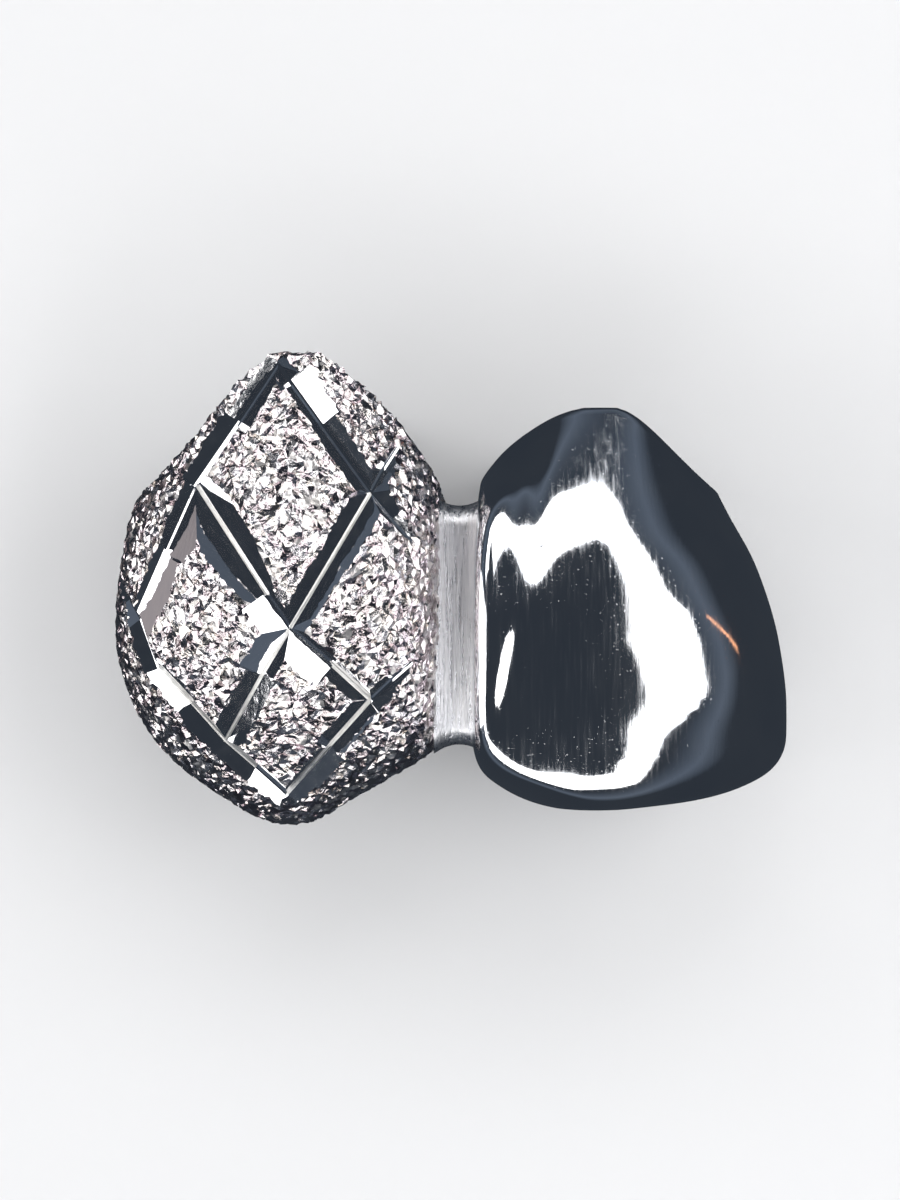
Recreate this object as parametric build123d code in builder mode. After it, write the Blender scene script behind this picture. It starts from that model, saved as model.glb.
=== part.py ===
from build123d import *
import os
from collections import namedtuple
from math import radians, tan

# Grillz tooth cover: a cap for an upper canine and one for the first premolar beside it, soldered
# side by side. It lies on its back, as it would by itself: X runs along the tooth row, +Y points
# to the gums, where both caps are open, and +Z comes out of the front faces.
# The origin is the middle of the surface that it lies on.

# Driving sizes, in millimetres
canine_width = 8.05
canine_height = 11.45
canine_depth = 8.6
premolar_width = 7.6
premolar_height = 9.6
premolar_depth = 9.2
premolar_rise = 0.48  # how much higher the premolar's biting edge stands than the canine's tip
wall = 0.7
canine_biting_wall = 1.5  # the metal between the canine's tip and the space for the tooth
premolar_biting_wall = 2.0  # the same on the premolar, under its fissure and cusps

# The solder joint between the facing sides
joint_width = 0.62
joint_bottom = 1.75  # above the canine's tip
joint_top = 7.9
joint_back = 2.6  # above the surface that the caps lie on
joint_front = 6.6
joint_hollow = 0.22  # how far the strip's front is hollowed between its two edges
joint_bite = 0.3  # how far the solder runs into each cap
joint_corner = 0.6  # the radius of the strip's ends, seen from the side

# The gum rims, seen from the side: each dips between a front arch and a lower back arch
canine_rim_dip = 8.05  # above the canine's tip
canine_back_arch = 10.3
premolar_rim_dip = 7.7  # above the premolar's biting edge
premolar_back_arch = 8.9
canine_arch_pull = 0.75  # how late the rim climbs to its front arch: more makes it more pointed
premolar_arch_pull = 0.65
back_arch_pull = 0.55
arch_top = 0.004  # the share of a cap's depth over which the top of an arch is level

# The groove between the premolar's two cusps, a long pit that is deepest in the middle
fissure_length = 5.4
fissure_radius = 1.9
fissure_depth = 1.25

# The bright cuts of the lattice on the canine's front
cut_depth = 0.30  # of the valley under the surface where two cuts cross
cut_middle_depth = 0.34  # the same halfway between two crossings
cut_slope = 38.0  # degrees, of each of a cut's two flats
cut_height = 1.2  # how far the cutting tool stands above its valley
cut_overrun = 0.06  # how far a run of a cut goes on past each of its ends

# Each cap's sections, from its biting end to above its rim. along is a share of the cap's height,
# left and right are shares of its width, and front and back are shares of its depth. ridge says
# where the front stands out furthest, as a share of the section's own width. left_square and
# right_square say how square the two halves are, from 0.55, round, to 1, a sharp corner. corner is
# the share of the left front quarter that is rounded: the rest of that quarter is straight.
Section = namedtuple("Section", "along left right front back ridge left_square right_square corner")

canine_sections = [
    Section(0.000, 0.490, 0.585, 0.640, 0.500, 0.51, 0.56, 0.56, 0.98),
    Section(0.018, 0.420, 0.640, 0.700, 0.450, 0.51, 0.56, 0.56, 0.98),
    Section(0.050, 0.345, 0.710, 0.755, 0.400, 0.51, 0.57, 0.58, 0.98),
    Section(0.100, 0.240, 0.840, 0.815, 0.330, 0.51, 0.58, 0.64, 0.98),
    Section(0.175, 0.125, 0.985, 0.875, 0.220, 0.51, 0.60, 0.76, 0.98),
    Section(0.280, 0.040, 1.000, 0.930, 0.070, 0.51, 0.62, 0.86, 0.98),
    Section(0.400, 0.000, 1.000, 0.970, 0.000, 0.51, 0.62, 0.88, 0.98),
    Section(0.620, 0.035, 1.000, 1.000, 0.000, 0.51, 0.60, 0.86, 0.98),
    Section(0.790, 0.130, 0.985, 0.980, 0.000, 0.51, 0.58, 0.70, 0.98),
    Section(1.030, 0.200, 0.905, 0.930, 0.060, 0.51, 0.56, 0.58, 0.98),
]

premolar_sections = [
    Section(0.000, 0.240, 0.520, 0.900, 0.260, 0.50, 0.60, 0.60, 0.98),
    Section(0.016, 0.170, 0.700, 0.940, 0.200, 0.46, 0.62, 0.62, 0.94),
    Section(0.050, 0.090, 0.860, 0.958, 0.130, 0.38, 0.64, 0.64, 0.70),
    Section(0.100, 0.020, 0.965, 0.972, 0.065, 0.30, 0.66, 0.65, 0.40),
    Section(0.160, 0.000, 1.000, 0.983, 0.020, 0.26, 0.68, 0.64, 0.22),
    Section(0.250, 0.000, 1.000, 0.995, 0.000, 0.25, 0.70, 0.66, 0.16),
    Section(0.400, 0.000, 0.978, 1.000, 0.000, 0.25, 0.70, 0.66, 0.16),
    Section(0.600, 0.004, 0.905, 0.972, 0.000, 0.26, 0.70, 0.62, 0.16),
    Section(0.735, 0.015, 0.815, 0.927, 0.005, 0.30, 0.66, 0.58, 0.26),
    Section(0.850, 0.035, 0.745, 0.866, 0.025, 0.40, 0.58, 0.57, 0.85),
    Section(1.030, 0.100, 0.650, 0.758, 0.090, 0.60, 0.56, 0.57, 0.98),
]

loft_steps = 24  # how many straight runs a form has between its first and last section

# A cap's own values: its sizes, its left side in X, its biting end in Y and where it is widest
# between back and front
Cap = namedtuple("Cap", "width height depth left tip waist sections")

total_width = canine_width + joint_width + premolar_width
canine_tip = -canine_height / 2

canine = Cap(
    width=canine_width,
    height=canine_height,
    depth=canine_depth,
    left=-total_width / 2,
    tip=canine_tip,
    waist=0.50,
    sections=canine_sections,
)
premolar = Cap(
    width=premolar_width,
    height=premolar_height,
    depth=premolar_depth,
    left=total_width / 2 - premolar_width,
    tip=canine_tip + premolar_rise,
    waist=0.50,
    sections=premolar_sections,
)

# Where the lattice's cuts start, cross and end, seen from the front: across is a share of the
# canine's width from its left side, and up a share of its height from its tip
Place = namedtuple("Place", "across up")

lattice_places = {
    "crown": Place(across=0.505, up=0.960),
    "upper_left": Place(across=0.242, up=0.721),
    "upper_right": Place(across=0.793, up=0.699),
    "heart": Place(across=0.545, up=0.412),
    "left_edge": Place(across=0.070, up=0.436),
    "lower_left": Place(across=0.337, up=0.170),
    "lower_right": Place(across=0.788, up=0.260),
    "tip": Place(across=0.528, up=0.055),
    "far_left": Place(across=0.020, up=0.520),
    "far_right_top": Place(across=0.868, up=0.800),
    "far_right_middle": Place(across=0.915, up=0.585),
    "far_right_low": Place(across=0.915, up=0.355),
}

# Each cut goes from one place to the next in two straight runs. fade_start and fade_end say how much
# of the cut's depth it has at each end: 1 where it crosses another, 0 where it runs out
Cut = namedtuple("Cut", "start end fade_start fade_end")

lattice_cuts = [
    Cut("crown", "upper_left", 0.7, 1.0),
    Cut("upper_left", "left_edge", 1.0, 0.8),
    Cut("crown", "upper_right", 0.7, 1.0),
    Cut("upper_right", "far_right_middle", 1.0, 0.0),
    Cut("far_right_top", "upper_right", 0.0, 1.0),
    Cut("upper_right", "heart", 1.0, 1.0),
    Cut("heart", "lower_left", 1.0, 1.0),
    Cut("upper_left", "heart", 1.0, 1.0),
    Cut("heart", "lower_right", 1.0, 1.0),
    Cut("far_left", "left_edge", 0.0, 0.8),
    Cut("left_edge", "lower_left", 0.8, 1.0),
    Cut("lower_left", "tip", 1.0, 0.8),
    Cut("tip", "lower_right", 0.8, 1.0),
    Cut("lower_right", "far_right_low", 1.0, 0.0),
]


def steepness(before, after, run_before, run_after):
    """The slope at a row of the table that lets a curve pass it without overshooting a level stretch."""
    if before * after <= 0:
        return 0.0
    weight_before = run_before + 2 * run_after
    weight_after = 2 * run_before + run_after
    return (weight_before + weight_after) / (weight_before / before + weight_after / after)


def section_at(sections, along):
    """The section at any height, on smooth curves through the rows of the table."""
    places = [section.along for section in sections]
    runs = [after - before for before, after in zip(places, places[1:])]
    index = max(i for i in range(len(runs)) if along >= places[i] or i == 0)
    share = (along - places[index]) / runs[index]
    values = [along]
    for column in Section._fields[1:]:
        levels = [getattr(section, column) for section in sections]
        rises = [(levels[i + 1] - levels[i]) / runs[i] for i in range(len(runs))]
        slopes = [rises[0]]
        slopes += [steepness(rises[i], rises[i + 1], runs[i], runs[i + 1]) for i in range(len(runs) - 1)]
        slopes += [rises[-1]]
        values.append(
            levels[index] * (1 + 2 * share) * (1 - share) ** 2
            + levels[index + 1] * (3 - 2 * share) * share**2
            + slopes[index] * runs[index] * share * (1 - share) ** 2
            - slopes[index + 1] * runs[index] * share**2 * (1 - share)
        )
    return Section(*values)


def sections_from(cap, lowest):
    """The cap's sections from a height above its biting end to its last row, closer where it ends."""
    first = lowest / cap.height
    last = cap.sections[-1].along
    shares = [(step / loft_steps) ** 1.5 for step in range(loft_steps + 1)]
    return [section_at(cap.sections, first + (last - first) * share) for share in shares]


def quarter(start, corner, end, square):
    """The four points of a rounded corner: it bulges towards its corner, the more the squarer."""
    start, corner, end = Vector(*start), Vector(*corner), Vector(*end)
    return start, start + (corner - start) * square, end + (corner - end) * square, end


def cap_section(cap, section, inset=0.0):
    """A cap's closed section across Y, drawn in by inset on every side."""
    left = cap.left + section.left * cap.width + inset
    right = cap.left + section.right * cap.width - inset
    front = section.front * cap.depth - inset
    back = section.back * cap.depth + inset
    ridge = left + section.ridge * (right - left)
    waist = back + cap.waist * (front - back)
    corner_z = front - section.corner * (front - waist)
    corner_x = left + section.corner * (ridge - left)
    height = cap.tip + section.along * cap.height
    with BuildSketch(Plane.XZ.offset(-height)) as outline:
        with BuildLine():
            Bezier(*quarter((ridge, front), (right, front), (right, waist), section.right_square))
            Bezier(*quarter((right, waist), (right, back), (ridge, back), section.right_square))
            Bezier(*quarter((ridge, back), (left, back), (left, waist), section.left_square))
            Line((left, waist), (left, corner_z))
            Bezier(*quarter((left, corner_z), (left, front), (corner_x, front), section.left_square))
            Line((corner_x, front), (ridge, front))
        make_face()
    return outline.sketch.face()


def above_rim(cap, dip, back_arch, arch_pull):
    """All that lies above a cap's gum rim, seen from the side: a dip between two arches."""
    dip_y = cap.tip + dip
    top_y = cap.tip + cap.height
    back_y = cap.tip + back_arch
    outside_y = top_y + cap.height
    waist_z = cap.waist * cap.depth
    front_z = (section_at(cap.sections, 1).front - arch_top) * cap.depth
    back_z = (section_at(cap.sections, back_arch / cap.height).back + arch_top) * cap.depth
    with BuildSketch(Plane.YZ) as side:
        with BuildLine():
            front_pull = waist_z + arch_pull * (front_z - waist_z)
            back_pull = waist_z + back_arch_pull * (back_z - waist_z)
            Bezier((top_y, front_z), (dip_y, front_pull), (dip_y, waist_z))
            Bezier((dip_y, waist_z), (dip_y, back_pull), (back_y, back_z))
            Polyline(
                (back_y, back_z),
                (back_y, -cap.depth),
                (outside_y, -cap.depth),
                (outside_y, 2 * cap.depth),
                (top_y, 2 * cap.depth),
                (top_y, front_z),
            )
        make_face()
    return side.sketch.face()


def point_on_front(solid, place):
    """The point of the canine's front at a place of the lattice, and the way that it faces there."""
    x = canine.left + place.across * canine.width
    y = canine.tip + place.up * canine.height
    straight_down = Axis((x, y, 2 * canine.depth), (0, 0, -1))
    hits = [hit for face in solid.faces() for hit in face.find_intersection_points(straight_down)]
    point, outward = max(hits, key=lambda hit: hit[0].Z)
    return point, outward.normalized()


# The canine cap's outer form, with its rim cut to the gum line
with BuildPart() as canine_form:
    loft([cap_section(canine, section) for section in sections_from(canine, 0)], ruled=True)
    extrude(
        above_rim(canine, canine_rim_dip, canine_back_arch, canine_arch_pull),
        amount=total_width,
        both=True,
        mode=Mode.SUBTRACT,
    )

# The bright cuts. Each run is a straight V between two points under the front
with BuildPart() as lattice:
    for cut in lattice_cuts:
        first = lattice_places[cut.start]
        last = lattice_places[cut.end]
        middle = Place(across=(first.across + last.across) / 2, up=(first.up + last.up) / 2)
        share = 1.0 if cut.fade_start * cut.fade_end else 0.5  # a cut that runs out is shallower
        depths = (cut_depth * cut.fade_start, cut_middle_depth * share, cut_depth * cut.fade_end)
        hits = [point_on_front(canine_form.part, place) for place in (first, middle, last)]
        valley = [point - outward * depth for (point, outward), depth in zip(hits, depths)]
        for index in (0, 1):
            start = valley[index]
            end = valley[index + 1]
            way = (end - start).normalized()
            sideways = (hits[index][1] + hits[index + 1][1]).cross(way).normalized()
            half_width = cut_height / tan(radians(cut_slope))
            with BuildSketch(Plane(origin=start - way * cut_overrun, x_dir=sideways, z_dir=way)):
                Polygon((0, 0), (half_width, cut_height), (-half_width, cut_height), align=None)
            extrude(amount=(end - start).length + 2 * cut_overrun)

with BuildPart() as canine_cap:
    add(canine_form.part)
    add(lattice.part, mode=Mode.SUBTRACT)

# The premolar cap's outer form: the fissure between its cusps is a long pit, deepest in the middle
with BuildPart() as premolar_cap:
    loft([cap_section(premolar, section) for section in sections_from(premolar, 0)], ruled=True)
    extrude(
        above_rim(premolar, premolar_rim_dip, premolar_back_arch, premolar_arch_pull),
        amount=total_width,
        both=True,
        mode=Mode.SUBTRACT,
    )
    pit_middle = Vector(
        premolar.left + premolar.width / 2,
        premolar.tip + fissure_depth - fissure_radius,
        premolar.waist * premolar.depth,
    )
    pit_end = (fissure_length / 2, 0)
    with BuildSketch(Plane(pit_middle)):
        with BuildLine():
            ThreePointArc((-fissure_length / 2, 0), (0, fissure_radius), pit_end)
            Line(pit_end, (-fissure_length / 2, 0))
        make_face()
    revolve(axis=Axis(pit_middle, (1, 0, 0)), mode=Mode.SUBTRACT)

# The solder joint: a strip between the facing sides, with a hollow front
with BuildPart() as solder_joint:
    joint_middle = Vector(
        premolar.left - joint_width / 2,
        canine.tip + (joint_bottom + joint_top) / 2,
        (joint_back + joint_front) / 2,
    )
    joint_reach = joint_width + 2 * joint_bite
    with BuildSketch(Plane(joint_middle, x_dir=(0, 1, 0), z_dir=(1, 0, 0))):
        RectangleRounded(joint_top - joint_bottom, joint_front - joint_back, joint_corner)
    extrude(amount=joint_reach / 2, both=True)
    hollow_radius = (joint_reach**2 / 4 + joint_hollow**2) / (2 * joint_hollow)
    hollow_lift = joint_front + hollow_radius - joint_hollow
    with Locations((joint_middle.X, joint_middle.Y, hollow_lift)):
        Cylinder(hollow_radius, 2 * (joint_top - joint_bottom), rotation=(90, 0, 0), mode=Mode.SUBTRACT)

# The spaces for the two teeth, open at the gum
with BuildPart() as canine_hollow:
    spaces = sections_from(canine, canine_biting_wall)
    loft([cap_section(canine, section, wall) for section in spaces], ruled=True)

with BuildPart() as premolar_hollow:
    spaces = sections_from(premolar, premolar_biting_wall)
    loft([cap_section(premolar, section, wall) for section in spaces], ruled=True)

# The two caps and their joint are one piece of metal, resting on the backs of the caps
with BuildPart() as tooth_caps:
    add(canine_cap.part)
    add(premolar_cap.part)
    add(solder_joint.part)
    add(canine_hollow.part, mode=Mode.SUBTRACT)
    add(premolar_hollow.part, mode=Mode.SUBTRACT)
    split(bisect_by=Plane.XY, keep=Keep.TOP)

tooth_caps.part.label = "tooth_caps"
os.makedirs("parts", exist_ok=True)
export_step(tooth_caps.part, "parts/tooth_caps.step")
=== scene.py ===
import bpy
import bmesh
import math
import random
import numpy as np
from mathutils import Matrix, Quaternion, Vector
from mathutils.bvhtree import BVHTree
from mathutils.kdtree import KDTree


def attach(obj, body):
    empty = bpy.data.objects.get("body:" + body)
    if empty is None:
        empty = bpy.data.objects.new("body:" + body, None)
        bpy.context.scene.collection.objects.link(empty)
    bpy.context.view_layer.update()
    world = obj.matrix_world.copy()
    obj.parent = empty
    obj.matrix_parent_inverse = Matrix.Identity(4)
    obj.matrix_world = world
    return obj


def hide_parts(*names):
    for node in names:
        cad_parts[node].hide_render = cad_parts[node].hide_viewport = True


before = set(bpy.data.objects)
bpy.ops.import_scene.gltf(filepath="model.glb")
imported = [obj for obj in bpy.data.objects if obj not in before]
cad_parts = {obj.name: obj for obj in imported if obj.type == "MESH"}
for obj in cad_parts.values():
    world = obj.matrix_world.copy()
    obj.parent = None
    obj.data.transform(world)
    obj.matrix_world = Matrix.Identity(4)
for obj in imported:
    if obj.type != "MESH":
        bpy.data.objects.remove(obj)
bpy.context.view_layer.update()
print("frame loaded")

# Tooth caps lying on their backs: x along the tooth row, +y to the gums, +z out of the fronts.
# All sizes in the dictionaries are millimetres unless a note says otherwise.
mm = 0.001

# the rows of a cap run from its biting end to above its rim; along is a share of its height, left
# and right of its width, front and back of its depth, ridge of the row's own width; square goes from
# 0.55, round, to 1, and corner is how much of the left half's front quarter its rounding takes
sectionColumns = ("along", "left", "right", "front", "back", "ridge", "leftSquare", "rightSquare", "corner")

canineCap = {
    "width": 8.05,
    "height": 11.45,
    "depth": 8.6,
    "waist": 0.50,          # where it is widest between back and front
    "wall": 0.7,
    "bitingWall": 1.5,      # how thick the metal is at the biting end
    "rimDip": 8.05,         # how high the rim is at its sides, above the tip
    "archPull": 0.75,       # how late the rim climbs to its front arch
    "backArch": 10.3,       # how high the rim is at the back; at the front it has the full height
    "lipRadius": 0.24,
    "columns": 44,          # mesh columns in a quarter of the way round
    "rows": 90,
    "smoothing": 6,         # rounds of evening out between the sections
    "sections": [
        (0.000, 0.490, 0.585, 0.640, 0.500, 0.51, 0.56, 0.56, 0.98),
        (0.018, 0.420, 0.640, 0.700, 0.450, 0.51, 0.56, 0.56, 0.98),
        (0.050, 0.345, 0.710, 0.755, 0.400, 0.51, 0.57, 0.58, 0.98),
        (0.100, 0.240, 0.840, 0.815, 0.330, 0.51, 0.58, 0.64, 0.98),
        (0.175, 0.125, 0.985, 0.875, 0.220, 0.51, 0.60, 0.76, 0.98),
        (0.280, 0.040, 1.000, 0.930, 0.070, 0.51, 0.62, 0.86, 0.98),
        (0.400, 0.000, 1.000, 0.970, 0.000, 0.51, 0.62, 0.88, 0.98),
        (0.620, 0.035, 1.000, 1.000, 0.000, 0.51, 0.60, 0.86, 0.98),
        (0.790, 0.130, 0.985, 0.980, 0.000, 0.51, 0.58, 0.70, 0.98),
        (1.030, 0.200, 0.905, 0.930, 0.060, 0.51, 0.56, 0.58, 0.98),
    ],
}

premolarCap = {
    "width": 7.6,
    "height": 9.6,
    "depth": 9.2,
    "waist": 0.50,
    "wall": 0.7,
    "bitingWall": 2.0,
    "rimDip": 7.7,
    "archPull": 0.65,
    "backArch": 8.9,
    "lipRadius": 0.22,
    "columns": 68,
    "rows": 120,
    "smoothing": 14,
    "sections": [
        (0.000, 0.240, 0.520, 0.900, 0.260, 0.50, 0.60, 0.60, 0.98),
        (0.016, 0.170, 0.700, 0.940, 0.200, 0.46, 0.62, 0.62, 0.94),
        (0.050, 0.090, 0.860, 0.958, 0.130, 0.38, 0.64, 0.64, 0.70),
        (0.100, 0.020, 0.965, 0.972, 0.065, 0.30, 0.66, 0.65, 0.40),
        (0.160, 0.000, 1.000, 0.983, 0.020, 0.26, 0.68, 0.64, 0.22),
        (0.250, 0.000, 1.000, 0.995, 0.000, 0.25, 0.70, 0.66, 0.16),
        (0.400, 0.000, 0.978, 1.000, 0.000, 0.25, 0.70, 0.66, 0.16),
        (0.600, 0.004, 0.905, 0.972, 0.000, 0.26, 0.70, 0.62, 0.16),
        (0.735, 0.015, 0.815, 0.927, 0.005, 0.30, 0.66, 0.58, 0.26),
        (0.850, 0.035, 0.745, 0.866, 0.025, 0.40, 0.58, 0.57, 0.85),
        (1.030, 0.100, 0.650, 0.758, 0.090, 0.60, 0.56, 0.57, 0.98),
    ],
}

# how the two caps stand to each other
pair = {
    "gap": 0.62,            # between their facing sides, where the solder is
    "premolarRise": 0.48,   # how far the premolar's biting end is above the canine's tip
}
pairWidth = canineCap["width"] + pair["gap"] + premolarCap["width"]
canineCap["left"] = -pairWidth / 2
canineCap["tip"] = -canineCap["height"] / 2
premolarCap["left"] = pairWidth / 2 - premolarCap["width"]
premolarCap["tip"] = canineCap["tip"] + pair["premolarRise"]

# the rim and the fineness that both caps share
skin = {
    "backPull": 0.55,       # how late the rim climbs to its back arch
    "archTop": 0.004,       # the level top of an arch, as a share of the depth
    "rimSteps": 60,         # points on each half of the rim
    "quarterSteps": 41,     # points on a rounded quarter before they are spaced evenly
    "wallSteps": 150,       # sections from the biting end to above the rim
    "crowding": 1.5,        # above 1, the sections stand closer at the biting end
    "innerRows": 50,
    "lipTurns": (18, 36, 54, 72, 90),   # degrees, of the rows over half the rim's edge
}


def curveThrough(places, levels, at):
    # a smooth curve through the rows of a table that never overshoots them
    places = np.array(places, float)
    levels = np.array(levels, float)
    runs = np.diff(places)
    rises = np.diff(levels) / runs
    turning = rises[:-1] * rises[1:] <= 0
    before = np.where(turning, 1.0, rises[:-1])
    after = np.where(turning, 1.0, rises[1:])
    weightBefore = runs[:-1] + 2 * runs[1:]
    weightAfter = 2 * runs[:-1] + runs[1:]
    middle = (weightBefore + weightAfter) / (weightBefore / before + weightAfter / after)
    slopes = np.concatenate([rises[:1], np.where(turning, 0.0, middle), rises[-1:]])
    index = np.clip(np.searchsorted(places, at, side="right") - 1, 0, len(runs) - 1)
    share = (at - places[index]) / runs[index]
    rest = 1 - share
    return (
        levels[index] * (1 + 2 * share) * rest**2
        + levels[index + 1] * (1 + 2 * rest) * share**2
        + slopes[index] * runs[index] * share * rest**2
        - slopes[index + 1] * runs[index] * rest * share**2
    )


def sectionValues(cap, along):
    rows = np.array(cap["sections"])
    return {name: curveThrough(rows[:, 0], rows[:, n], along) for n, name in enumerate(sectionColumns)}


def bentLine(t, start, pull, end):
    # a curve that leaves its start towards pull and comes to its end from there
    return (1 - t) ** 2 * start + 2 * t * (1 - t) * pull + t**2 * end


def lengthsAlong(path):
    return np.concatenate([[0], np.cumsum(np.linalg.norm(np.diff(path, axis=0), axis=1))])


def pointsAlong(path, lengths, marks):
    return np.stack([np.interp(marks, lengths, axis) for axis in path.T], axis=1)


def quarterCurve(start, corner, end, square, count, size=1.0):
    # one rounded quarter of a section, in evenly spaced points without the last; a size below 1
    # rounds only the corner itself and leaves the rest straight
    start, corner, end = np.array(start), np.array(corner), np.array(end)
    first = corner + (start - corner) * size
    last = corner + (end - corner) * size
    inner = first + (corner - first) * square
    outer = last + (corner - last) * square
    t = np.linspace(0, 1, skin["quarterSteps"])[:, None]
    curve = (1 - t) ** 3 * first + 3 * (1 - t) ** 2 * t * inner + 3 * (1 - t) * t**2 * outer + t**3 * last
    curve = np.concatenate([start[None], curve, end[None]])
    lengths = lengthsAlong(curve)
    return pointsAlong(curve, lengths, np.linspace(0, lengths[-1], count + 1)[:-1])


def sectionRing(cap, along, inset):
    v = sectionValues(cap, along)
    left = cap["left"] + v["left"] * cap["width"] + inset
    right = cap["left"] + v["right"] * cap["width"] - inset
    front = v["front"] * cap["depth"] - inset
    back = v["back"] * cap["depth"] + inset
    ridge = left + v["ridge"] * (right - left)
    waist = back + cap["waist"] * (front - back)
    count = cap["columns"]
    ring = np.concatenate([
        quarterCurve((ridge, front), (right, front), (right, waist), v["rightSquare"], count),
        quarterCurve((right, waist), (right, back), (ridge, back), v["rightSquare"], count),
        quarterCurve((ridge, back), (left, back), (left, waist), v["leftSquare"], count),
        quarterCurve((left, waist), (left, front), (ridge, front), v["leftSquare"], count, v["corner"]),
    ])
    height = np.full(len(ring), cap["tip"] + along * cap["height"])
    return np.stack([ring[:, 0], height, ring[:, 1]], axis=1)


def rimHeight(cap, z):
    # the gum rim seen from the side: a dip between a front arch and a lower back arch
    waist = cap["waist"] * cap["depth"]
    frontTop = (sectionValues(cap, 1.0)["front"] - skin["archTop"]) * cap["depth"]
    backShare = sectionValues(cap, cap["backArch"] / cap["height"])["back"]
    backTop = (backShare + skin["archTop"]) * cap["depth"]
    t = np.linspace(0, 1, skin["rimSteps"])
    frontZ = bentLine(t, frontTop, waist + cap["archPull"] * (frontTop - waist), waist)
    frontY = bentLine(t, cap["height"], cap["rimDip"], cap["rimDip"])
    backZ = bentLine(t, waist, waist + skin["backPull"] * (backTop - waist), backTop)
    backY = bentLine(t, cap["rimDip"], cap["rimDip"], cap["backArch"])
    zs = np.concatenate([backZ[::-1], frontZ[::-1][1:]])
    ys = np.concatenate([backY[::-1], frontY[::-1][1:]])
    return cap["tip"] + np.interp(z, zs, ys)


def wallGrid(cap, lowest, inset, rows):
    # rows of points from the middle of the biting end up to the rim; the last row is the rim itself,
    # and the row before it is where the rim's rounding starts
    first = lowest / cap["height"]
    last = cap["sections"][-1][0]
    shares = first + (last - first) * np.linspace(0, 1, skin["wallSteps"]) ** skin["crowding"]
    rings = np.array([sectionRing(cap, share, inset) for share in shares])
    middle = np.repeat(rings[0].mean(axis=0)[None, None, :], rings.shape[1], axis=1)
    columns = np.concatenate([middle, rings]).transpose(1, 0, 2)
    grid = np.empty((rows + 1, len(columns), 3))
    for n, column in enumerate(columns):
        over = column[:, 1] - rimHeight(cap, column[:, 2])
        above = int(np.argmax(over[2:] > 0)) + 2
        part = over[above - 1] / (over[above - 1] - over[above])
        edge = column[above - 1] + part * (column[above] - column[above - 1])
        path = np.concatenate([column[:above], edge[None]])
        lengths = lengthsAlong(path)
        marks = np.append(np.linspace(0, lengths[-1] - cap["lipRadius"], rows), lengths[-1])
        grid[:, n] = pointsAlong(path, lengths, marks)
    return grid


def smoothGrid(grid, rounds):
    # evens out the wall between the rows of the table; the pole follows the ring beside it, and the
    # rim and the row before it stay
    for _ in range(rounds):
        around = (np.roll(grid, 1, axis=1) + np.roll(grid, -1, axis=1)) / 2
        middle = grid[1:-2] * 0.5 + around[1:-2] * 0.25 + (grid[:-3] + grid[2:-1]) * 0.125
        grid[1:-2] = middle
        grid[0] = grid[1].mean(axis=0)
    return grid


def halfLip(wall, inwards, radius):
    # the rim's edge from where its rounding starts to its crest
    return [wall[-2] + (wall[-1] - wall[-2]) * math.sin(a) + inwards * radius * (1 - math.cos(a))
            for a in np.radians(skin["lipTurns"])]


def lipRows(outer, inner, radius):
    # the rounded edge of the rim, from the outer wall over to the inner wall
    across = inner[-1] - outer[-1]
    across /= np.linalg.norm(across, axis=1)[:, None]
    front = halfLip(outer, across, radius)
    back = halfLip(inner, -across, radius)
    return front + [(front[-1] + back[-1]) / 2] + back[::-1]


def makeMesh(name, points, faces, material):
    mesh = bpy.data.meshes.new(name)
    mesh.from_pydata([tuple(p) for p in np.asarray(points) * mm], [], faces)
    whole = bmesh.new()
    whole.from_mesh(mesh)
    bmesh.ops.recalc_face_normals(whole, faces=whole.faces)
    whole.to_mesh(mesh)
    whole.free()
    mesh.materials.append(material)
    mesh.update()
    piece = bpy.data.objects.new(name, mesh)
    bpy.context.scene.collection.objects.link(piece)
    return piece


def ringQuads(rings, count):
    # the faces between rings of points that come after one pole
    return [(low + n, low + count + n, low + count + (n + 1) % count, low + (n + 1) % count)
            for low in range(1, 1 + (rings - 1) * count, count) for n in range(count)]


def smoothFaces(piece):
    piece.data.polygons.foreach_set("use_smooth", [True] * len(piece.data.polygons))


def shellFromRows(name, rows, material):
    # one closed skin: a pole, rings of quads, and a pole at the other end
    rings = np.array(rows[1:-1])
    count = rings.shape[1]
    points = np.concatenate([rows[0][:1], rings.reshape(-1, 3), rows[-1][:1]])
    top = len(points) - 1
    faces = []
    for n in range(count):
        after = (n + 1) % count
        faces.append((0, 1 + n, 1 + after))
        faces.append((top, top - count + after, top - count + n))
    return makeMesh(name, points, faces + ringQuads(len(rings), count), material)


def capSkin(cap, shapeOuter=None):
    # all rows of a cap: outer wall, rim, inner wall
    outer = smoothGrid(wallGrid(cap, 0, 0.0, cap["rows"]), cap["smoothing"])
    if shapeOuter:
        outer = shapeOuter(outer)
    inner = smoothGrid(wallGrid(cap, cap["bitingWall"], cap["wall"], skin["innerRows"]), cap["smoothing"])
    rows = list(outer[:-1]) + lipRows(outer, inner, cap["lipRadius"]) + list(inner[:-1][::-1])
    return rows, outer, inner


def wallFinder(outer, inner):
    # finds the wall nearest to a point: 0 for the outer one, 1 for the inner one
    walls = (outer.reshape(-1, 3), inner[:-1].reshape(-1, 3))
    finder = KDTree(sum(len(wall) for wall in walls))
    for mark, wall in enumerate(walls):
        for point in wall:
            finder.insert(Vector(point), mark)
    finder.balance()
    return finder


def isInside(finder, place):
    return finder.find(place / mm)[1] == 1


def markInside(piece, finder, material):
    # gives the faces nearer to the inner wall the cast finish, in the last material slot
    piece.data.materials.append(material)
    slot = len(piece.data.materials) - 1
    for face in piece.data.polygons:
        if isInside(finder, face.center):
            face.material_index = slot


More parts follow.
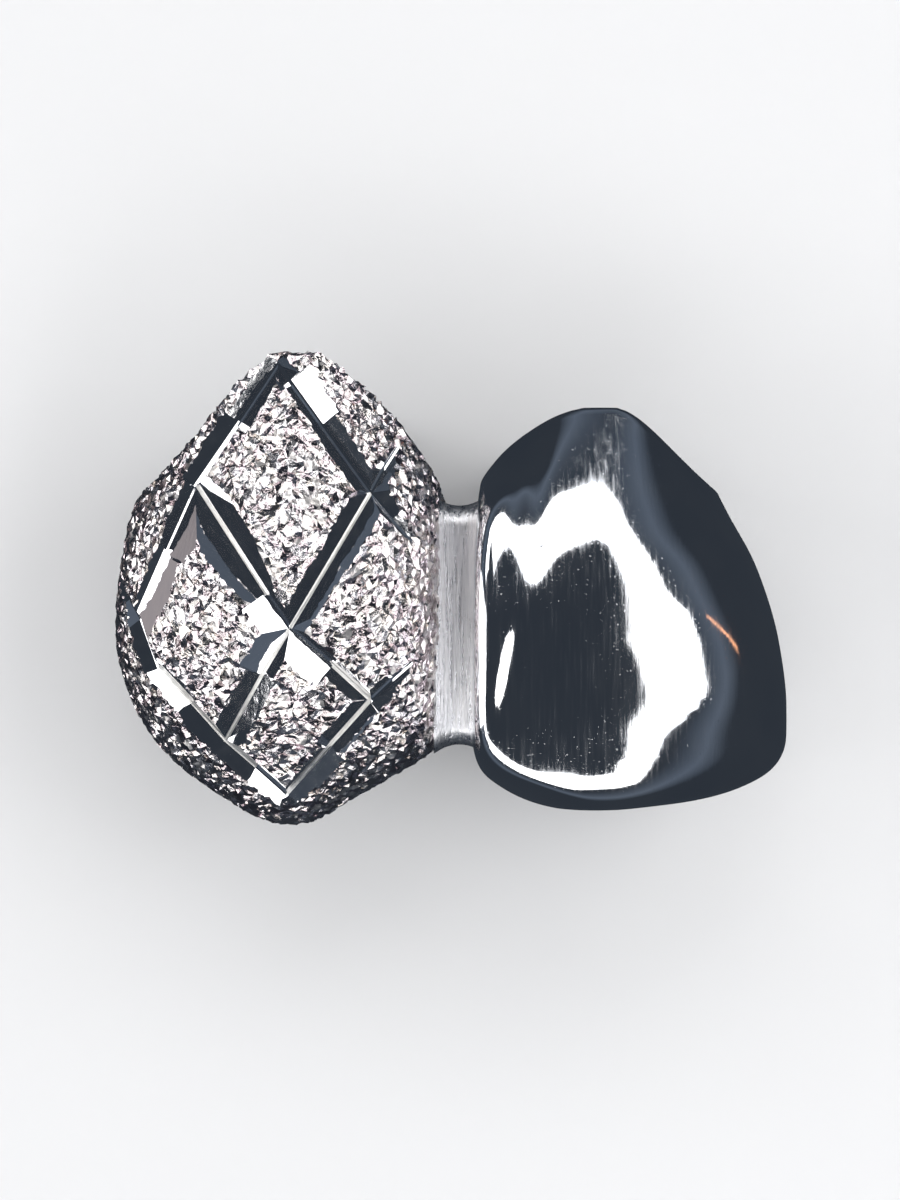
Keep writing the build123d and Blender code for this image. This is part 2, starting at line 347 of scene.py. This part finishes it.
def applyModifiers(piece):
    seen = bpy.context.evaluated_depsgraph_get()
    seen.update()
    mesh = bpy.data.meshes.new_from_object(piece.evaluated_get(seen))
    piece.modifiers.clear()
    piece.data = mesh


# the finishes: each stop of a ramp is a place in its noise and the colour, roughness or height there
tones = {
    "polishColour": [(0.3, (0.80, 0.82, 0.86)), (0.7, (0.90, 0.90, 0.91))],
    "polishRough": [(0.40, 0.05), (0.56, 0.09), (0.74, 0.16)],
    "polishSpecks": [(0.68, 0.0), (0.78, 1.0)],
    "dustColour": [
        (0.12, (0.42, 0.37, 0.37)),
        (0.35, (0.60, 0.52, 0.55)),
        (0.50, (0.66, 0.61, 0.57)),
        (0.68, (0.72, 0.69, 0.72)),
        (0.88, (0.95, 0.90, 0.86)),
    ],
    "dustRough": [(0.2, 0.08), (0.6, 0.18), (0.9, 0.34)],
    "cutColour": [(0.3, (0.86, 0.86, 0.88)), (0.7, (0.93, 0.92, 0.92))],
    "cutRough": [(0.3, 0.03), (0.7, 0.07)],
    "castColour": [(0.3, (0.62, 0.60, 0.57)), (0.7, (0.82, 0.81, 0.79))],
    "castRough": [(0.3, 0.30), (0.7, 0.48)],
    "solderColour": [(0.3, (0.74, 0.74, 0.77)), (0.7, (0.94, 0.93, 0.93))],
    "solderRough": [(0.3, 0.20), (0.7, 0.42)],
}

# how deep each finish's relief is
relief = {
    "hairlines": 0.0011,
    "specks": 0.0012,
    "dust": 0.02,
    "chatter": 0.002,
    "cast": 0.03,
    "solder": 0.05,
}


def newFinish(name, metallic=1.0):
    material = bpy.data.materials.new(name)
    material.use_nodes = True
    tree = material.node_tree
    shader = tree.nodes["Principled BSDF"]
    shader.inputs["Metallic"].default_value = metallic
    return material, tree, shader


def addNode(tree, kind, values=None, **options):
    node = tree.nodes.new(kind)
    for key, value in options.items():
        setattr(node, key, value)
    for key, value in (values or {}).items():
        node.inputs[key].default_value = value
    return node


def texture(tree, kind, stretch=(1, 1, 1), **values):
    # a texture in millimetres, so that its scale is a count for each millimetre
    place = addNode(tree, "ShaderNodeTexCoord")
    mapping = addNode(tree, "ShaderNodeMapping", {"Scale": [s / mm for s in stretch]})
    node = addNode(tree, kind, values)
    tree.links.new(place.outputs["Object"], mapping.inputs["Vector"])
    tree.links.new(mapping.outputs["Vector"], node.inputs["Vector"])
    return node


def noise(tree, **values):
    return texture(tree, "ShaderNodeTexNoise", **values).outputs["Fac"]


def ramp(tree, source, stops):
    node = addNode(tree, "ShaderNodeValToRGB")
    while len(node.color_ramp.elements) < len(stops):
        node.color_ramp.elements.new(0.5)
    for element, (place, colour) in zip(node.color_ramp.elements, stops):
        element.position = place
        element.color = (*colour, 1) if isinstance(colour, tuple) else (colour, colour, colour, 1)
    tree.links.new(source, node.inputs["Fac"])
    return node.outputs["Color"]


def bump(tree, height, distance, under=None):
    node = addNode(tree, "ShaderNodeBump", {"Strength": 1.0, "Distance": distance * mm})
    tree.links.new(height, node.inputs["Height"])
    if under:
        tree.links.new(under, node.inputs["Normal"])
    return node.outputs["Normal"]


def plug(tree, shader, colour, rough, normal):
    for socket, source in (("Base Color", colour), ("Roughness", rough), ("Normal", normal)):
        tree.links.new(source, shader.inputs[socket])


def polishedSilver():
    # mirror polish with fine upright hairlines and a few pin specks
    material, tree, shader = newFinish("polishedSilver")
    streaks = noise(tree, stretch=(15, 0.7, 5), Scale=1.0, Detail=4.0, Roughness=0.6)
    cloud = noise(tree, Scale=0.5, Detail=2.0)
    specks = ramp(tree, noise(tree, Scale=14.0, Detail=2.0, Roughness=0.7), tones["polishSpecks"])
    hairlines = bump(tree, streaks, relief["hairlines"])
    plug(tree, shader,
         colour=ramp(tree, cloud, tones["polishColour"]),
         rough=ramp(tree, streaks, tones["polishRough"]),
         normal=bump(tree, specks, relief["specks"], under=hairlines))
    return material


def dustedSilver():
    # each grain is a small facet; the noise only varies their tone and polish
    material, tree, shader = newFinish("dustedSilver")
    grains = texture(tree, "ShaderNodeTexVoronoi", Scale=5.5).outputs["Color"]
    fine = noise(tree, Scale=9.0, Detail=3.0)
    plug(tree, shader,
         colour=ramp(tree, grains, tones["dustColour"]),
         rough=ramp(tree, grains, tones["dustRough"]),
         normal=bump(tree, fine, relief["dust"]))
    return material


def brightCutSilver():
    # the flats left by the cutting tool, with its faint chatter
    material, tree, shader = newFinish("brightCutSilver")
    chatter = noise(tree, stretch=(1, 1, 2), Scale=3.0, Detail=3.0)
    plug(tree, shader,
         colour=ramp(tree, chatter, tones["cutColour"]),
         rough=ramp(tree, chatter, tones["cutRough"]),
         normal=bump(tree, chatter, relief["chatter"]))
    return material


def castSilver():
    # the unpolished inside, as it came from the casting
    material, tree, shader = newFinish("castSilver")
    grit = noise(tree, Scale=3.5, Detail=6.0, Roughness=0.65)
    stain = noise(tree, Scale=0.45, Detail=3.0)
    plug(tree, shader,
         colour=ramp(tree, stain, tones["castColour"]),
         rough=ramp(tree, grit, tones["castRough"]),
         normal=bump(tree, grit, relief["cast"]))
    return material


def solderSilver():
    # filed and burnished along its length
    material, tree, shader = newFinish("solderSilver")
    streaks = noise(tree, stretch=(14, 0.8, 8), Scale=1.0, Detail=5.0, Roughness=0.6)
    plug(tree, shader,
         colour=ramp(tree, streaks, tones["solderColour"]),
         rough=ramp(tree, streaks, tones["solderRough"]),
         normal=bump(tree, streaks, relief["solder"]))
    return material


polished = polishedSilver()
dusted = dustedSilver()
brightCut = brightCutSilver()
cast = castSilver()
solder = solderSilver()
print("finishes made")


# the premolar cap: mirror polished, two cusps with a fissure between them
premolarForm = {
    "fissureLength": 5.4,
    "fissureRadius": 1.9,
    "fissureDepth": 1.25,
    "fissureReach": 2.5,    # the biting end up to here has it
    "cuspSoftness": 0.22,   # how round the cusps' edges are
    "evening": 4,           # rounds of smoothing after it
    # the hollows of the front start frontFrom in front of the waist, and the one at its lower right
    # has its full depth frontBlend further on
    "frontFrom": 1.5,
    "frontBlend": 1.7,
    # the shallow groove that runs up the front beside the joint, deeper towards the gum
    "grooveAt": 1.75,
    "grooveWidth": 0.42,
    "grooveStart": -0.8,
    "grooveDepth": 0.030,   # at 1 mm above its start, and it grows with the square
    # a faint upright dent left by the polishing mop
    "dentAt": (1.44, -1.95),
    "dentLean": 0.19,
    "dentWidths": (0.26, 0.46),     # to its left and to its right
    "dentLength": 1.15,
    "dentDepth": 0.128,
    # the front's lower right falls away beyond a slanting line between two points
    "fallFrom": ((5.78, -2.52), (3.15, -4.38)),
    "fallCurve": 0.10,      # times the square of the way beyond the line
    "fallReach": 1.3,       # and evenly from here on
}


def softHigher(a, b, softness):
    # the higher of two surfaces, with a rounded line where they meet
    blend = np.clip(0.5 + 0.5 * (a - b) / softness, 0, 1)
    return b * (1 - blend) + a * blend + softness * blend * (1 - blend)


def sinkFissure(grid):
    # the pit that a spindle leaves in the biting end; bow is the radius of its long arc
    form = premolarForm
    reach = form["fissureLength"] / 2
    radius = form["fissureRadius"]
    bow = (reach**2 + radius**2) / (2 * radius)
    middleX = premolarCap["left"] + premolarCap["width"] / 2
    middleY = premolarCap["tip"] + form["fissureDepth"] - radius
    middleZ = premolarCap["waist"] * premolarCap["depth"]
    fromX = np.clip(np.abs(grid[..., 0] - middleX), 0, bow)
    around = np.maximum(np.sqrt(bow**2 - fromX**2) - (bow - radius), 0)
    pit = middleY + np.sqrt(np.maximum(around**2 - (grid[..., 2] - middleZ) ** 2, 0))
    low = grid[..., 1] < premolarCap["tip"] + form["fissureReach"]
    grid[..., 1] = np.where(low, softHigher(pit, grid[..., 1], form["cuspSoftness"]), grid[..., 1])
    return grid


def shapePremolar(grid):
    # the fissure, then the hand-worked hollows of the front
    form = premolarForm
    grid = smoothGrid(sinkFissure(grid), form["evening"])
    x, y, z = grid[..., 0], grid[..., 1], grid[..., 2]
    up = np.maximum(y - form["grooveStart"], 0)
    hollow = form["grooveDepth"] * up**2 * np.exp(-((x - form["grooveAt"]) / form["grooveWidth"]) ** 2)
    dentX = form["dentAt"][0] + form["dentLean"] * (y - form["dentAt"][1])
    fade = np.exp(-((y - form["dentAt"][1]) / form["dentLength"]) ** 4)
    dentWidth = np.where(x < dentX, *form["dentWidths"])
    hollow += form["dentDepth"] * fade * np.exp(-((x - dentX) / dentWidth) ** 2)
    (x0, y0), (x1, y1) = form["fallFrom"]
    beyond = np.maximum((y - y0) * (x1 - x0) - (x - x0) * (y1 - y0), 0) / math.hypot(x1 - x0, y1 - y0)
    near = np.minimum(beyond, form["fallReach"])
    level = premolarCap["waist"] * premolarCap["depth"] + form["frontFrom"]
    share = np.clip((z - level) / form["frontBlend"], 0, 1)
    hollow += form["fallCurve"] * near * (2 * beyond - near) * share**2 * (3 - 2 * share)
    grid[..., 2] = np.where(z > level, z - hollow, z)
    return grid


premolarRows, premolarOuter, premolarInner = capSkin(premolarCap, shapePremolar)
premolarPiece = shellFromRows("premolar_cap", premolarRows, polished)
markInside(premolarPiece, wallFinder(premolarOuter, premolarInner), cast)
smoothFaces(premolarPiece)
print("premolar cap made", len(premolarPiece.data.polygons))


# the canine cap: diamond-dusted all over its outside, with a lattice of bright cuts on its front
dust = {
    "grain": 0.125,         # the size of a grain's facet
    "shake": 0.042,         # how far a grain's corner strays along the surface
    "sink": 0.088,          # and how far it sinks below it, at most
    "seed": 7,
}

# across is a share of the canine's width from its left side, and up a share of its height
latticePlaces = {
    "crown": (0.505, 0.960),
    "upperLeft": (0.242, 0.721),
    "upperRight": (0.793, 0.699),
    "heart": (0.545, 0.412),
    "leftEdge": (0.070, 0.436),
    "lowerBend": (0.124, 0.330),
    "lowerLeft": (0.337, 0.170),
    "lowerRight": (0.788, 0.260),
    "tip": (0.528, 0.055),
    "farLeft": (0.020, 0.520),
    "farRightTop": (0.868, 0.800),
    "farRightMiddle": (0.915, 0.585),
    "farRightLow": (0.915, 0.355),
}

# start, end, the share of the depth at each, then the cut's straight runs: how far along each one
# ends, how the cutter leans on it and the slope of its two flanks, in degrees
latticeCuts = [
    ("crown", "upperLeft", 0.7, 1.0, (0.5, -6, 43), (1, 0, 43)),
    ("upperLeft", "leftEdge", 0.9, 0.4, (0.5, -34, 40), (1, -30, 36)),
    ("crown", "upperRight", 0.7, 1.0, (0.14, 0, 43), (0.46, -14, 40), (1, 2, 43)),
    ("upperRight", "farRightMiddle", 1.0, 0.0, (0.5, 0, 43), (1, 6, 44)),
    ("farRightTop", "upperRight", 0.0, 1.0, (0.5, -4, 45), (1, 2, 43)),
    ("upperRight", "heart", 1.0, 1.0, (0.5, 0, 43), (1, 0, 43)),
    ("heart", "lowerLeft", 1.0, 1.0, (0.4, 12, 42), (1, 0, 44.5)),
    ("upperLeft", "heart", 1.0, 1.0, (0.78, -2, 45), (1, 18, 43)),
    ("heart", "lowerRight", 1.0, 1.0, (0.5, 16, 43), (1, 6, 56)),
    ("farLeft", "leftEdge", 0.0, 0.8, (0.5, 0, 43), (1, 0, 43)),
    ("leftEdge", "lowerBend", 0.8, 0.9, (1, -4, 42)),
    ("lowerBend", "lowerLeft", 0.9, 1.0, (0.5, -10, 43), (1, 0, 43)),
    ("lowerLeft", "tip", 1.0, 0.8, (0.5, 0, 43), (1, 0, 43)),
    ("tip", "lowerRight", 0.8, 1.0, (0.5, 4, 43), (1, -10, 45)),
    ("lowerRight", "farRightLow", 1.0, 0.0, (0.5, -6, 43), (1, 0, 43)),
]

cutter = {
    "depth": 0.32,          # of the valley where two cuts cross
    "middleDepth": 0.36,    # and between two crossings
    "valley": 0.045,        # half the width of the two small flats at the bottom
    "valleySlope": 16.0,    # degrees
    "height": 1.2,
    "overrun": 0.06,
    "dropFrom": 20.0,       # the height that its places are dropped from, onto the front
}

canineRows, canineOuter, canineInner = capSkin(canineCap)
canineWalls = wallFinder(canineOuter, canineInner)
caninePiece = shellFromRows("canine_cap", canineRows, dusted)
plainFront = BVHTree.FromObject(caninePiece, bpy.context.evaluated_depsgraph_get())


def pointOnFront(across, up):
    # a point of the front before it is dusted, and the way out of the metal there
    x = canineCap["left"] + across * canineCap["width"]
    y = canineCap["tip"] + up * canineCap["height"]
    point, out, _, _ = plainFront.ray_cast(Vector((x, y, cutter["dropFrom"])) * mm, Vector((0, 0, -1)))
    return point / mm, out


def cutRuns(start, end, startShare, endShare, *runs):
    # a cut's straight runs, each as its two valley points, the way out of the metal, lean and slope
    first, last = np.array(latticePlaces[start]), np.array(latticePlaces[end])
    marks = [0] + [mark for mark, _, _ in runs]
    hits = [pointOnFront(*(first + (last - first) * mark)) for mark in marks]
    middle = cutter["middleDepth"] * (startShare + endShare) / 2
    depths = [cutter["depth"] * startShare] + [middle] * (len(runs) - 1) + [cutter["depth"] * endShare]
    valleys = [point - out * depth for (point, out), depth in zip(hits, depths)]
    return [(valleys[n], valleys[n + 1], hits[n][1] + hits[n + 1][1], lean, slope)
            for n, (_, lean, slope) in enumerate(runs)]


def makeCutter(start, end, out, lean, slope):
    # a bar with the cut's section, its narrow end down
    way = (end - start).normalized()
    sideways = out.cross(way).normalized()
    turn = Quaternion(way, math.radians(lean))
    sideways, up = turn @ sideways, turn @ way.cross(sideways)
    valley, high = cutter["valley"], cutter["height"]
    valleyTop = valley * math.tan(math.radians(cutter["valleySlope"]))
    wide = valley + (high - valleyTop) / math.tan(math.radians(slope))
    section = [(0, 0), (valley, valleyTop), (wide, high), (-wide, high), (-valley, valleyTop)]
    points = []
    for place in (start - way * cutter["overrun"], end + way * cutter["overrun"]):
        points += [place + sideways * x + up * y for x, y in section]
    count = len(section)
    faces = [tuple(range(count))[::-1], tuple(range(count, 2 * count))]
    faces += [(n, (n + 1) % count, count + (n + 1) % count, count + n) for n in range(count)]
    return makeMesh("cutter", points, faces, brightCut)


def dustSurface(piece):
    # an even skin of small triangles whose corners stray, so that each one faces its own way
    remesh = piece.modifiers.new("grains", "REMESH")
    remesh.mode = "VOXEL"
    remesh.voxel_size = dust["grain"] * mm
    applyModifiers(piece)
    split = piece.modifiers.new("split", "TRIANGULATE")
    split.quad_method = "SHORTEST_DIAGONAL"
    applyModifiers(piece)
    chance = random.Random(dust["seed"])
    normals = [v.normal.copy() for v in piece.data.vertices]
    for vertex, normal in zip(piece.data.vertices, normals):
        if isInside(canineWalls, vertex.co):
            continue
        stray = Vector((chance.uniform(-1, 1), chance.uniform(-1, 1), chance.uniform(-1, 1)))
        stray -= normal * stray.dot(normal)
        rise = chance.uniform(-1, 0) * dust["sink"]
        vertex.co += (stray * dust["shake"] + normal * rise) * mm
    piece.data.update()


def cutAway(piece, tool):
    # the new faces bring the tool's bright finish with them
    boolean = piece.modifiers.new("cut", "BOOLEAN")
    boolean.operation = "DIFFERENCE"
    boolean.solver = "MANIFOLD"
    boolean.material_mode = "TRANSFER"
    boolean.object = tool
    applyModifiers(piece)
    bpy.data.objects.remove(tool)


dustSurface(caninePiece)
print("dust made", len(caninePiece.data.polygons))
for cut in latticeCuts:
    for run in cutRuns(*cut):
        cutAway(caninePiece, makeCutter(*run))
print("canine cap cut", len(caninePiece.data.polygons), [m.name for m in caninePiece.data.materials])
markInside(caninePiece, canineWalls, cast)
# the grains and cuts stay flat, and the cast inside, its last finish, is smooth
for face in caninePiece.data.polygons:
    face.use_smooth = face.material_index == len(caninePiece.data.materials) - 1


# the solder joint: a strip with hollow sides between the two caps
joint = {
    "bottom": 1.75,         # above the canine's tip
    "top": 7.9,
    "back": 2.6,
    "front": 6.6,
    "hollow": 0.22,         # how far its sides are hollowed halfway between the caps
    "bite": 0.3,            # how far it runs into each cap
    "corner": 0.6,
    "rings": 13,
    "cornerPoints": 9,
}


def jointRing(x, inset):
    # the strip's outline at x, its four corners rounded; it starts at the top of the front
    low = canineCap["tip"] + joint["bottom"] + inset
    high = canineCap["tip"] + joint["top"] - inset
    back, front = joint["back"] + inset, joint["front"] - inset
    corner = joint["corner"] - inset / 2
    middles = ((high - corner, front - corner), (low + corner, front - corner),
               (low + corner, back + corner), (high - corner, back + corner))
    ring = []
    for quarter, (y, z) in enumerate(middles):
        for a in np.radians(np.linspace(0, 90, joint["cornerPoints"])) + math.pi / 2 * quarter:
            ring.append((x, y + corner * math.cos(a), z + corner * math.sin(a)))
    return np.array(ring)


def makeJoint():
    middleX = premolarCap["left"] - pair["gap"] / 2
    reach = pair["gap"] / 2 + joint["bite"]
    rings = [jointRing(middleX + x * reach, joint["hollow"] * (1 - x**2))
             for x in np.linspace(-1, 1, joint["rings"])]
    first, last = (np.repeat(ring.mean(axis=0)[None], len(ring), axis=0) for ring in (rings[0], rings[-1]))
    piece = shellFromRows("solder_joint", [first, *rings, last], solder)
    smoothFaces(piece)
    return piece


jointPiece = makeJoint()
print("solder joint made")

for piece in (caninePiece, premolarPiece, jointPiece):
    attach(piece, "root")
    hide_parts("tooth_caps")
print("pieces placed")


# the studio: pale sweep, soft panels overhead, a dark surround in the reflections
studio = {
    "floorRadius": 450.0,
    "sweepHeight": 260.0,
    "floorRings": (20, 80),
    "ringPoints": 64,
    "bendRings": (6, 90, 15),   # degrees of the first and the last, and how many
    "floorColour": (0.66, 0.66, 0.665),
    "floorMottle": 1.03,    # how much lighter its lightest places are
    "panelHeight": 300.0,
    "panelGlow": 2.8,
    # the panels overhead: the middle's x and y, the size along each, and the turn in degrees
    "panels": {
        "panelTop": (25, 318, 670, 156, 0),
        "panelTopLeft": (-235, 193, 150, 94, 0),
        "panelTopSlant": (11, 232, 206, 120, 34),
        "panelRight": (328, 170, 324, 140, 0),
        "panelRightMiddle": (320, 50, 340, 100, 0),
        "panelRightSlant": (205, 78, 141, 120, 73),
        "panelRightLow": (333, -30, 334, 60, 0),
        "panelLowSlant": (198, 23, 64, 120, -60),
        "panelCornerHigh": (290, -85, 280, 50, 0),
        "panelCornerSlant": (185, -98, 78, 110, 56),
        "panelCornerLow": (230, -130, 240, 40, 0),
        "panelBottom": (-30, -230, 560, 160, 0),
        "panelLowerLeft": (-335, -135, 170, 150, 0),
    },
    # a panel at the left that faces the caps
    "sidePanelAt": (-400, 0, 180),
    "sidePanelSize": (240, 480),
    # a narrow warm strip between two points, seen only as a glint
    "stripEnds": ((179, 22, 5), (158, 62, 55)),
    "stripWidth": 5,
    "stripGlow": 1.6,
    "stripColour": (1.0, 0.45, 0.22),
    # the dark surround, lighter in a band above the horizon, and a soft grey patch low at the left
    "surround": (0.030, 0.037, 0.048),
    "bandAt": (0.0, 0.25, 0.6),     # its lower end, its middle and its upper end
    "bandGlow": 3.5,
    "patchWay": (-0.890, 0.206, -0.407),
    "patchEdges": (0.966, 0.989),   # how straight towards it: 1 is its very middle
    "patchColour": (0.34, 0.31, 0.32),
}


def makeSweep():
    # a round floor that bends up into a wall
    material, tree, shader = newFinish("paleSweep", metallic=0.0)
    shader.inputs["Roughness"].default_value = 0.8
    shader.inputs["Specular IOR Level"].default_value = 0.2
    plain = studio["floorColour"]
    lighter = tuple(c * studio["floorMottle"] for c in plain)
    mottle = ramp(tree, noise(tree, Scale=0.02, Detail=2.0), [(0.3, plain), (0.7, lighter)])
    tree.links.new(mottle, shader.inputs["Base Color"])
    bend = studio["sweepHeight"]
    flat = studio["floorRadius"] - bend
    profile = [(radius, 0.0) for radius in (*studio["floorRings"], flat)]
    profile += [(flat + bend * math.sin(a), bend - bend * math.cos(a))
                for a in np.radians(np.linspace(*studio["bendRings"]))]
    turns = np.linspace(0, 2 * math.pi, studio["ringPoints"] + 1)[:-1]
    points = [(0, 0, 0)]
    for radius, height in profile:
        points += [(radius * math.cos(t), radius * math.sin(t), height) for t in turns]
    count = len(turns)
    faces = [(0, 1 + n, 1 + (n + 1) % count) for n in range(count)] + ringQuads(len(profile), count)
    floor = makeMesh("sweep", points, faces, material)
    smoothFaces(floor)
    floor.visible_glossy = False    # a dark surround shows in the metal instead


def addPanel(name, centre, size, glow, facing, colour=(1, 1, 1)):
    lamp = bpy.data.lights.new(name, "AREA")
    lamp.shape = "RECTANGLE"
    lamp.size, lamp.size_y = size[0] * mm, size[1] * mm
    lamp.energy = glow * math.pi * lamp.size * lamp.size_y
    lamp.color = colour
    panel = bpy.data.objects.new(name, lamp)
    panel.location = Vector(centre) * mm
    panel.rotation_mode = "QUATERNION"
    panel.rotation_quaternion = facing
    bpy.context.scene.collection.objects.link(panel)
    return panel


def makeLights():
    glow = studio["panelGlow"]
    for name, (x, y, long, wide, turn) in studio["panels"].items():
        facing = Quaternion((0, 0, 1), math.radians(turn))
        addPanel(name, (x, y, studio["panelHeight"]), (long, wide), glow, facing)
    facing = (-Vector(studio["sidePanelAt"])).to_track_quat("-Z", "Y")
    addPanel("panelLeft", studio["sidePanelAt"], studio["sidePanelSize"], glow, facing)


def makeStrip():
    low, high = (Vector(end) for end in studio["stripEnds"])
    middle = (low + high) / 2
    outward = middle.normalized()
    along = (high - low).normalized()
    along = (along - outward * along.dot(outward)).normalized()
    facing = Matrix((along.cross(outward), along, outward)).transposed().to_quaternion()
    size = (studio["stripWidth"], (high - low).length)
    strip = addPanel("warmLamp", middle, size, studio["stripGlow"], facing, studio["stripColour"])
    strip.visible_diffuse = False


def makeSurround():
    world = bpy.data.worlds.new("surround")
    world.use_nodes = True
    bpy.context.scene.world = world
    tree = world.node_tree
    place = addNode(tree, "ShaderNodeTexCoord")
    split = addNode(tree, "ShaderNodeSeparateXYZ")
    tree.links.new(place.outputs["Generated"], split.inputs["Vector"])
    dark = studio["surround"]
    brighter = tuple(studio["bandGlow"] * c for c in dark)
    level = ramp(tree, split.outputs["Z"], list(zip(studio["bandAt"], (dark, brighter, dark))))
    toPatch = addNode(tree, "ShaderNodeVectorMath", {1: studio["patchWay"]}, operation="DOT_PRODUCT")
    tree.links.new(place.outputs["Generated"], toPatch.inputs[0])
    patchStops = list(zip(studio["patchEdges"], ((0, 0, 0), studio["patchColour"])))
    patch = ramp(tree, toPatch.outputs["Value"], patchStops)
    both = addNode(tree, "ShaderNodeVectorMath", operation="MAXIMUM")
    tree.links.new(level, both.inputs[0])
    tree.links.new(patch, both.inputs[1])
    tree.links.new(both.outputs["Vector"], tree.nodes["Background"].inputs["Color"])


# the camera: straight above the fronts, looking down as a new one does
cameraSet = {
    "lens": 135,
    "sensor": 36,
    "frame": (900, 1200),   # the picture's width and height, in pixels
    "shown": 21.6,          # across the picture, at the caps' middle
    "middle": (0, -0.3, 5.5),
    "clip": (0.005, 5),     # metres
}


def makeCamera():
    camera = bpy.data.cameras.new("camera")
    camera.lens = cameraSet["lens"]
    camera.sensor_width = cameraSet["sensor"]
    camera.clip_start, camera.clip_end = cameraSet["clip"]
    shortSide = cameraSet["sensor"] * cameraSet["frame"][0] / cameraSet["frame"][1]
    distance = cameraSet["shown"] * cameraSet["lens"] / shortSide
    view = bpy.data.objects.new("camera", camera)
    view.location = (Vector(cameraSet["middle"]) + Vector((0, 0, distance))) * mm
    bpy.context.scene.collection.objects.link(view)
    bpy.context.scene.camera = view


makeSweep()
makeLights()
makeStrip()
makeSurround()
makeCamera()
bpy.context.scene.view_settings.view_transform = "Standard"
print("studio made")
